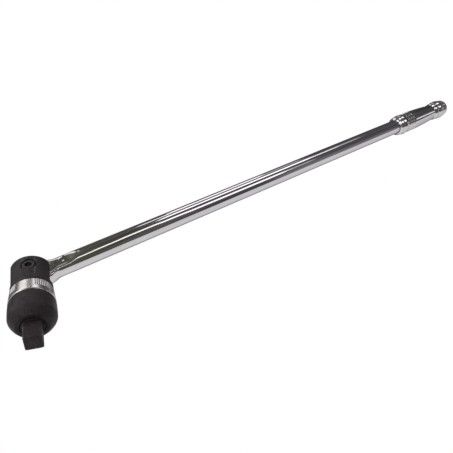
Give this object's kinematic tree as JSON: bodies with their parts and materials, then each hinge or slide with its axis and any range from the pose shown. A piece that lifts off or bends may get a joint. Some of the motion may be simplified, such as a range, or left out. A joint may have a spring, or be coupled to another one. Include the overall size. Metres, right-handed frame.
{
  "type": "breaker bar",
  "caption": "Long chromed breaker bar whose flexing black ratchet head has a square drive, a reversing ring and a socket screw hinge.",
  "frame": {"origin": "centre of the square drive's end face", "axes": "+X along the bar from the hinge to the grip, +Z along the hinge screw towards its socket head, +Y from the drive's end towards the bar"},
  "size_m": [0.5775, 0.0753, 0.0344],
  "materials": {
    "bar_chrome": "polished chrome plate over a ground steel bar",
    "grip_chrome": "polished chrome plate over a turned steel sleeve",
    "plug_chrome": "polished chrome plate, domed end",
    "clevis_black": "black phosphate over forged steel, oiled, satin",
    "screw_black": "black oxide socket screw",
    "ring_chrome": "polished chrome plate with three knurled pads",
    "housing_black": "black phosphate over machined steel, oiled, satin",
    "drive_black": "black phosphate over hardened steel",
    "washer_steel": "bright steel washer",
    "ball_steel": "hardened bearing steel",
    "pin_steel": "ground dowel pin",
    "pawl_steel": "hardened tool steel, heat tinted",
    "spring": "bright spring wire or strip",
    "bronze": "sintered bronze bearing",
    "seal_rubber": "black nitrile ring"
  },
  "bodies": {
    "handle": {"handle_bar": "bar_chrome", "grip_sleeve": "grip_chrome", "grip_end_plug": "plug_chrome"},
    "head": {"clevis_body": "clevis_black", "pivot_screw": "screw_black", "hinge_wave_washer": "spring", "hinge_flat_washer": "washer_steel", "lower_housing": "housing_black", "housing_snap_ring": "spring", "forward_pawl_pin": "pin_steel", "reverse_pawl_pin": "pin_steel", "forward_pawl_spring": "spring", "reverse_pawl_spring": "spring", "upper_thrust_washer": "bronze", "lower_thrust_washer": "bronze", "drive_bush": "bronze", "neck_seal": "seal_rubber", "ring_detent_spring": "spring"},
    "ring": {"reversing_ring": "ring_chrome"},
    "ring_ball": {"ring_detent_ball": "ball_steel"},
    "forward_pawl": {"forward_pawl": "pawl_steel"},
    "reverse_pawl": {"reverse_pawl": "pawl_steel"},
    "spindle": {"drive_spindle": "drive_black", "socket_ball_spring": "spring"},
    "socket_ball": {"socket_ball": "ball_steel"}
  },
  "joints": [
    {"name": "head_flex", "type": "hinge", "parent": "handle", "child": "head", "pos_m": [0.02397, 0.05934, 0], "axis": [0, 0, 1], "range_deg": [-158, 22]},
    {"name": "ring_reverse", "type": "hinge", "parent": "head", "child": "ring", "pos_m": [0.02397, 0.05934, 0], "axis": [-0.3746, -0.9272, 0], "range_deg": [0, 24]},
    {"name": "forward_pawl_rock", "type": "hinge", "parent": "head", "child": "forward_pawl", "pos_m": [0.00286, 0.02581, 0.00898], "axis": [-0.3746, -0.9272, 0], "range_deg": [-11, 0]},
    {"name": "reverse_pawl_rock", "type": "hinge", "parent": "head", "child": "reverse_pawl", "pos_m": [0.01587, 0.02055, 0.00898], "axis": [-0.3746, -0.9272, 0], "range_deg": [-11, 0]},
    {"name": "spindle_spin", "type": "hinge", "parent": "head", "child": "spindle", "pos_m": [0.02397, 0.05934, 0], "axis": [-0.3746, -0.9272, 0], "continuous": true},
    {"name": "socket_ball_press", "type": "slide", "parent": "spindle", "child": "socket_ball", "axis": [0, 0, 1], "range_m": [0, 0.0009], "stiffness_N_per_m": 4000, "springref_m": -0.0005, "deforming": ["socket_ball_spring"]},
    {"name": "ring_ball_press", "type": "slide", "parent": "head", "child": "ring_ball", "axis": [0, 0, 1], "range_m": [-0.0003, 0.0003], "stiffness_N_per_m": 3000, "deforming": ["ring_detent_spring"]}
  ],
  "couplings": [
    {"joint": "forward_pawl_rock", "follows": "ring_reverse", "ratio": -0.45833},
    {"joint": "reverse_pawl_rock", "follows": "ring_reverse", "ratio": -0.45833}
  ]
}
